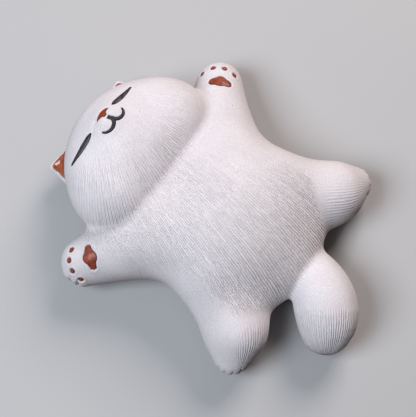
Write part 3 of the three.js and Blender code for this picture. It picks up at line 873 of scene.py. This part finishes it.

# %% [markdown]
# ## Shared effects
# Three effects are built once as node groups: comb strokes, the fine grain of fired clay,
# and dark spots for specks and for the painted shade of pin holes. Each puts out a height or
# a mask that the materials use. A small class keeps the writing of their nodes short.

# %% Tools for nodes
class Effect:
    """A shader node group with short calls for the nodes that it needs"""

    def __init__(self, name, inputs, outputs):
        self.tree = bpy.data.node_groups.new(name, "ShaderNodeTree")
        for label, kind, value in inputs:
            socket = self.tree.interface.new_socket(label, in_out="INPUT", socket_type=kind)
            if value is not None:
                socket.default_value = value
        for label in outputs:
            self.tree.interface.new_socket(label, in_out="OUTPUT", socket_type="NodeSocketFloat")
        self.inputs = self.tree.nodes.new("NodeGroupInput").outputs
        self.outputs = self.tree.nodes.new("NodeGroupOutput").inputs

    def node(self, kind, inputs=(), **settings):
        return new_node(self.tree, kind, dict(inputs), **settings)

    def math(self, operation, *values):
        return math_node(self.tree, operation, *values)

    def give(self, label, socket):
        self.tree.links.new(socket, self.outputs[label])


def new_node(tree, kind, inputs, **settings):
    """Adds a node; an input is a value, or the socket that it comes from"""
    node = tree.nodes.new(kind)
    for key, value in settings.items():
        setattr(node, key, value)
    for key, value in inputs.items():
        if isinstance(value, bpy.types.NodeSocket):
            tree.links.new(value, node.inputs[key])
        else:
            node.inputs[key].default_value = value
    return node


def math_node(tree, operation, *values):
    inputs = dict(enumerate(values))
    return new_node(tree, "ShaderNodeMath", inputs, operation=operation).outputs[0]


print("Node tools are ready")

# %% [markdown]
# The comb's teeth leave ridges at an even pitch. Noise along the strokes makes them sway a
# little and tears them into short strands. Where strokes fan out, a pattern with twice as
# many fades in, so that their pitch stays nearly even.

# %% Comb strokes
TORN = 0.3


def build_comb_strokes():
    group = Effect("comb_strokes", [
        ("Comb", "NodeSocketVector", None),
        ("Doublings", "NodeSocketFloat", 0.0),
        ("Pitch", "NodeSocketFloat", 0.62),
        ("Length", "NodeSocketFloat", 3.4),
    ], ["Height"])
    place = group.node("ShaderNodeSeparateXYZ", {0: group.inputs["Comb"]}).outputs
    whole = group.math("FLOOR", group.inputs["Doublings"])
    part = group.math("FRACT", group.inputs["Doublings"])
    along = group.math("DIVIDE", place["Y"], group.inputs["Length"])
    layers = []
    for extra in (0, 1):
        finer = group.math("POWER", 2.0, group.math("ADD", whole, float(extra)))
        spread = group.math("MULTIPLY", place["X"], finer)
        across = group.math("DIVIDE", spread, group.inputs["Pitch"])
        spot = group.node("ShaderNodeCombineXYZ", {"X": across, "Y": along, "Z": finer}).outputs[0]
        sway = group.node("ShaderNodeTexNoise", {"Vector": spot, "Scale": 0.5, "Detail": 2.0})
        swayed = group.math("ADD", across, sway.outputs["Fac"])
        ridge = group.math("SINE", group.math("MULTIPLY", swayed, 2 * math.pi))
        ridge = group.math("MULTIPLY_ADD", ridge, 0.5, 0.5)
        strand = group.node("ShaderNodeTexNoise", {"Vector": spot, "Scale": 1.3, "Detail": 2.0})
        torn = group.node("ShaderNodeMapRange", {
            "Value": strand.outputs["Fac"], "From Min": 0.3, "From Max": 0.7,
        }).outputs[0]
        mixed = group.node("ShaderNodeMix", {"Factor": TORN, "A": ridge, "B": torn})
        layers.append(mixed.outputs[0])
    blend = group.node("ShaderNodeMix", {"Factor": part, "A": layers[0], "B": layers[1]})
    group.give("Height", blend.outputs[0])
    return group.tree


comb_strokes = build_comb_strokes()
print("Effect:", comb_strokes.name)

# %% [markdown]
# Fired clay is sandy to the touch and a little uneven in tone. Here and there a bubble or a
# burnt-out crumb has left a pin hole. Dark spots paint the shade in such holes, and stand
# for dark specks in the clay as well.

# %% Clay grain, dark specks and painted pin-hole shade
def build_clay_grain():
    group = Effect("clay_grain", [("Place", "NodeSocketVector", None)], ["Height", "Mottle"])
    grain = group.node("ShaderNodeTexNoise", {
        "Vector": group.inputs["Place"], "Scale": 2600.0, "Detail": 3.0, "Roughness": 0.65,
    })
    mottle = group.node("ShaderNodeTexNoise", {
        "Vector": group.inputs["Place"], "Scale": 90.0, "Detail": 3.0, "Roughness": 0.55,
    })
    group.give("Height", grain.outputs["Fac"])
    group.give("Mottle", mottle.outputs["Fac"])
    return group.tree


def build_specks_and_hole_shade():
    group = Effect("specks_and_hole_shade", [
        ("Place", "NodeSocketVector", None),
        ("Scale", "NodeSocketFloat", 260.0),
        ("Share", "NodeSocketFloat", 0.16),
        ("Radius", "NodeSocketFloat", 0.06),
    ], ["Mask"])
    cells = group.node("ShaderNodeTexVoronoi", {
        "Vector": group.inputs["Place"], "Scale": group.inputs["Scale"],
    })
    chance = group.node("ShaderNodeSeparateColor", {0: cells.outputs["Color"]}).outputs[0]
    chosen = group.math("LESS_THAN", chance, group.inputs["Share"])
    spot = group.node("ShaderNodeMapRange", {
        "Value": cells.outputs["Distance"], "From Min": group.inputs["Radius"], "From Max": 0.0,
    }).outputs[0]
    group.give("Mask", group.math("MULTIPLY", spot, chosen))
    return group.tree


clay_grain = build_clay_grain()
specks_and_hole_shade = build_specks_and_hole_shade()
print("Effects:", clay_grain.name, specks_and_hole_shade.name)

# %% [markdown]
# ## White clay
# The body is fired without glaze: bone white, a little pink, dry and dull. The comb leaves
# fine furrows, darkened with painted shade while painted light brightens their crests, and
# a few dark specks and the painted shade of pin holes show.

# %% Clay material
CLAY_DARK, CLAY_PALE = (0.735, 0.695, 0.715), (0.81, 0.765, 0.785)
# Colour of dark specks in the clay, and of the painted shade inside pin holes
SPECK_AND_HOLE_SHADE_COLOUR = (0.12, 0.10, 0.10, 1)
# Stroke height that leaves the tone as it is, and how far painted light brightens a stroke's crest
# and painted shade darkens its furrow
EVEN_HEIGHT, STROKE_PAINTED_LIGHT_AND_SHADE = 0.27, 0.34
GRAIN_RELIEF, STROKE_RELIEF = 0.06, 0.26


def material(name, **values):
    """A material whose Principled BSDF has the given constant values"""
    made = bpy.data.materials.new(name)
    made.use_nodes = True
    shader = made.node_tree.nodes["Principled BSDF"]
    for key, value in values.items():
        shader.inputs[key.replace("_", " ")].default_value = value
    return made, made.node_tree, shader


def group_node(tree, group, **inputs):
    return new_node(tree, "ShaderNodeGroup", inputs, node_tree=group).outputs


def attribute(tree, name, output="Fac"):
    """A value that the mesh stores at each of its points"""
    return new_node(tree, "ShaderNodeAttribute", {}, attribute_name=name).outputs[output]


def two_colours(tree, value, *stops):
    """Blends from one colour to another between two places of a value"""
    blend = new_node(tree, "ShaderNodeValToRGB", {"Fac": value})
    for element, (position, colour) in zip(blend.color_ramp.elements, stops):
        element.position = position
        element.color = (*colour, 1)
    return blend.outputs["Color"]


def make_clay():
    made, tree, shader = material("white_clay", Specular_IOR_Level=0.35)
    place = new_node(tree, "ShaderNodeTexCoord", {}).outputs["Object"]
    comb = attribute(tree, "comb", "Vector")
    doublings = attribute(tree, "comb_doublings")
    share = attribute(tree, "comb_share")
    strokes = group_node(tree, comb_strokes, Comb=comb, Doublings=doublings)["Height"]
    grain = group_node(tree, clay_grain, Place=place)
    speck_and_hole_mask = group_node(tree, specks_and_hole_shade, Place=place)["Mask"]

    furrow = math_node(tree, "MULTIPLY", strokes, share)
    tint = two_colours(tree, grain["Mottle"], (0.3, CLAY_DARK), (0.75, CLAY_PALE))
    dusty = new_node(tree, "ShaderNodeMapRange", {
        "Value": grain["Height"], "From Min": 0.3, "From Max": 0.7, "To Min": 0.85, "To Max": 1.08,
    }).outputs[0]
    # Painted shade darkens the comb's furrows and painted light brightens their crests, on top of
    # the grain's uneven tone
    crest = math_node(tree, "SUBTRACT", strokes, EVEN_HEIGHT)
    crest_light_and_furrow_shade = math_node(tree, "MULTIPLY", crest, share)
    shade = math_node(tree, "MULTIPLY_ADD", crest_light_and_furrow_shade, STROKE_PAINTED_LIGHT_AND_SHADE, dusty)
    shaded = new_node(tree, "ShaderNodeVectorMath", {
        0: tint, "Scale": shade,
    }, operation="SCALE").outputs[0]
    # Dark spots: specks in the clay, and painted shade inside pin holes
    with_specks_and_hole_shade = new_node(tree, "ShaderNodeMix", {
        "Factor": speck_and_hole_mask, "A": shaded, "B": SPECK_AND_HOLE_SHADE_COLOUR,
    }, data_type="RGBA").outputs["Result"]
    tree.links.new(with_specks_and_hole_shade, shader.inputs["Base Color"])

    rough = new_node(tree, "ShaderNodeMapRange", {
        "Value": grain["Height"], "To Min": 0.7, "To Max": 0.95,
    }).outputs[0]
    tree.links.new(rough, shader.inputs["Roughness"])

    fine = new_node(tree, "ShaderNodeBump", {
        "Height": grain["Height"], "Distance": GRAIN_RELIEF * MM,
    })
    furrows = new_node(tree, "ShaderNodeBump", {
        "Height": furrow, "Distance": STROKE_RELIEF * MM, "Normal": fine.outputs["Normal"],
    })
    tree.links.new(furrows.outputs["Normal"], shader.inputs["Normal"])
    return made


white_clay = make_clay()
print("Material:", white_clay.name)

# %% [markdown]
# ## Closing and dressing the clay
# A lump that is luted on has a hidden face against its neighbour. Here each cut edge is
# turned inward by a millimetre and filled, which makes every piece a closed body. Then the
# piece gets the whole skin's normals, its comb coordinates and the white clay.

# %% Close and dress the clay pieces
def close(mesh):
    """Turns each cut edge inward as a short wall and fills it, in the same order every run"""
    skin_normal = mesh.verts.layers.float_vector["skin_normal"]
    rim = [e.link_loops[0] for e in mesh.edges if e.is_boundary]
    ends = [(loop.vert, loop.link_loop_next.vert) for loop in rim]
    inner = {v: mesh.verts.new(v.co - Vector(v[skin_normal]) * MM, v) for v, _ in ends}
    walls = [mesh.faces.new((b, a, inner[a], inner[b])) for a, b in ends]
    bottoms = [wall.edges[2] for wall in walls]
    filled = bmesh.ops.holes_fill(mesh, edges=bottoms, sides=0)["faces"]
    bmesh.ops.triangulate(mesh, faces=filled, ngon_method="EAR_CLIP")


def store(mesh, name, values):
    """Stores a number for each point of a mesh"""
    mesh.attributes.new(name, "FLOAT", "POINT").data.foreach_set("value", values)


def clay_piece(name, mesh, comb):
    close(mesh)
    bmesh.ops.recalc_face_normals(mesh, faces=mesh.faces)
    normals = np.array([v[mesh.verts.layers.float_vector["skin_normal"]] for v in mesh.verts])
    normals /= np.maximum(np.linalg.norm(normals, axis=1), 1e-6)[:, None]
    across, along, doublings, share = comb(places(mesh))
    piece = bpy.data.objects.new(f"clay_{name}", bpy.data.meshes.new(f"clay_{name}"))
    mesh.to_mesh(piece.data)
    data = piece.data
    data.shade_smooth()
    data.normals_split_custom_set_from_vertices(normals.tolist())
    vectors = np.stack([across, along, np.zeros(len(across))], axis=1)
    data.attributes.new("comb", "FLOAT_VECTOR", "POINT").data.foreach_set("vector", vectors.ravel())
    store(data, "comb_share", share)
    store(data, "comb_doublings", doublings)
    data.materials.append(white_clay)
    bpy.context.scene.collection.objects.link(piece)
    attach(piece, "root")
    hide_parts(name)
    return piece


bpy.data.objects.remove(skin)
for name, mesh in pieces.items():
    made = clay_piece(name, mesh, combs.get(name, comb_nothing))
    print(made.name, len(made.data.polygons), "cells")

# %% [markdown]
# ## Pouring the glaze
# Glaze stands in each pit as a shallow lens. Each inlay is its CAD solid, remeshed finely so
# that its edges run smooth, with its top pressed down to a lens below the pit's rim.

# %% Glaze inlays
# Levels of the CAD inlay's seat and crown, and levels between them at which its walls stand
SEAT, PROUD = -0.9, 0.25
WALL_LOW, WALL_HIGH = -0.7, -0.3
EAR_GLOSS, FLAT_GLOSS = 1.0, 0.16
INLAY_CELL = 0.12
SMOOTHINGS = 5
# Level of the glaze at its rim and in its middle, how far in the middle begins, and how far
# the glaze has run past its CAD outline
LENSES = {
    "palm_pad": (-0.2, -0.06, 1.9, 0.12),
    "toe_pad": (-0.22, 0.0, 0.6, 0.14),
    "ear_lining": (-0.2, -0.75, 2.0, 0.3),
    "nose": (-0.1, 0.06, 0.8, 0.2),
    "mouth": (-0.12, 0.02, 0.4, 0.1),
    "eye": (-0.12, 0.02, 0.4, 0.22),
}


def pour(name, lens):
    """A CAD inlay, remeshed and pressed down to a lens"""
    rim_level, middle_level, reach, run = lens
    solid = merged_node(name)
    for v in solid.verts:
        v.co += v.normal * run * MM
    piece = remeshed(f"glaze_{name}", solid, INLAY_CELL)
    mesh = bmesh.new()
    mesh.from_mesh(piece.data)
    for _ in range(SMOOTHINGS):
        bmesh.ops.smooth_vert(
            mesh, verts=mesh.verts, factor=0.5, use_axis_x=True, use_axis_y=True, use_axis_z=True,
        )
    p = places(mesh)
    level = cat(p)
    at_wall = p + upward(p) * (np.clip(level, WALL_LOW, WALL_HIGH) - level)[:, None]
    inward = np.maximum(run - from_outline(name, at_wall), 0)
    top = rim_level + (middle_level - rim_level) * ramp(0, reach, inward)
    pressed = SEAT + (level - SEAT) * (top - SEAT) / (PROUD - SEAT)
    p += upward(p) * (pressed - level)[:, None]
    for v, place in zip(mesh.verts, (p + FIGURE_SHIFT) * MM):
        v.co = place
    mesh.to_mesh(piece.data)
    mesh.free()
    gloss = EAR_GLOSS if name.startswith("ear") else FLAT_GLOSS
    store(piece.data, "inward", inward)
    store(piece.data, "gloss", np.full(len(p), gloss))
    piece.data.shade_smooth()
    return piece


print("Kinds of inlay:", sorted(LENSES))

# %% [markdown]
# Painted shade darkens the glaze along its rim, where the pit's wall shades it, and the
# glaze is uneven in the middle, where it has pooled in the firing. The ears' glaze is glossy,
# the rest is nearly dull.

# %% Glaze materials
def glaze_material(name, rim, deep, thin, roughness):
    """A glaze with painted shade as its rim colour, and its colours where it is deep and where it
    is thin
    """
    made, tree, shader = material(
        name, Roughness=roughness, Coat_Roughness=0.06, Specular_IOR_Level=0.2,
    )
    tree.links.new(attribute(tree, "gloss"), shader.inputs["Coat Weight"])
    place = new_node(tree, "ShaderNodeTexCoord", {}).outputs["Object"]
    pooling = new_node(tree, "ShaderNodeTexNoise", {
        "Vector": place, "Scale": 420.0, "Detail": 3.0, "Roughness": 0.55,
    }).outputs["Fac"]
    tint = two_colours(tree, pooling, (0.35, deep), (0.68, thin))
    # Painted shade: the rim colour darkens the glaze near its outline, where the pit's wall shades
    # it
    away_from_rim_shade = new_node(tree, "ShaderNodeMapRange", {
        "Value": attribute(tree, "inward"), "From Min": 0.08, "From Max": 0.4,
    }, interpolation_type="SMOOTHSTEP").outputs[0]
    with_rim_shade = new_node(tree, "ShaderNodeMix", {
        "Factor": away_from_rim_shade, "A": (*rim, 1), "B": tint,
    }, data_type="RGBA").outputs["Result"]
    tree.links.new(with_rim_shade, shader.inputs["Base Color"])
    ripple = new_node(tree, "ShaderNodeBump", {"Height": pooling, "Distance": 0.05 * MM})
    tree.links.new(ripple.outputs["Normal"], shader.inputs["Normal"])
    return made


# The first colour of each glaze is the painted shade along its rim
brown_glaze = glaze_material(
    "brown_glaze", (0.09, 0.016, 0.01), (0.19, 0.032, 0.017), (0.34, 0.075, 0.038), 0.45,
)
ear_glaze = glaze_material(
    "ear_glaze", (0.13, 0.026, 0.014), (0.27, 0.05, 0.02), (0.46, 0.12, 0.05), 0.4,
)
nose_glaze = glaze_material(
    "nose_glaze", (0.13, 0.026, 0.012), (0.25, 0.045, 0.014), (0.45, 0.12, 0.035), 0.3,
)
black_glaze = glaze_material(
    "black_glaze", (0.016, 0.015, 0.018), (0.024, 0.023, 0.027), (0.055, 0.053, 0.06), 0.5,
)
print("Glazes:", [made.name for made in (brown_glaze, ear_glaze, nose_glaze, black_glaze)])

# %% [markdown]
# Pads and ear linings are brown, the nose is a warmer brown, and mouth and eyes are black.
# Every inlay is now poured, coloured, and takes its CAD solid's place.

# %% Pour every inlay
GLAZES = {
    "palm_pad": (brown_glaze, "brown_glaze"),
    "toe_pad": (brown_glaze, "brown_glaze"),
    "ear_lining": (ear_glaze, "brown_glaze"),
    "nose": (nose_glaze, "nose_glaze"),
    "mouth": (black_glaze, "black_glaze"),
    "eye": (black_glaze, "black_glaze"),
}
for kind, (glaze, slot) in GLAZES.items():
    for node_name in nodes_of(kind):
        inlay = pour(node_name, LENSES[kind])
        inlay.data.materials.append(glaze)
        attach(inlay, "root")
        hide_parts(node_name)
print("Inlays:", len(GLAZE))
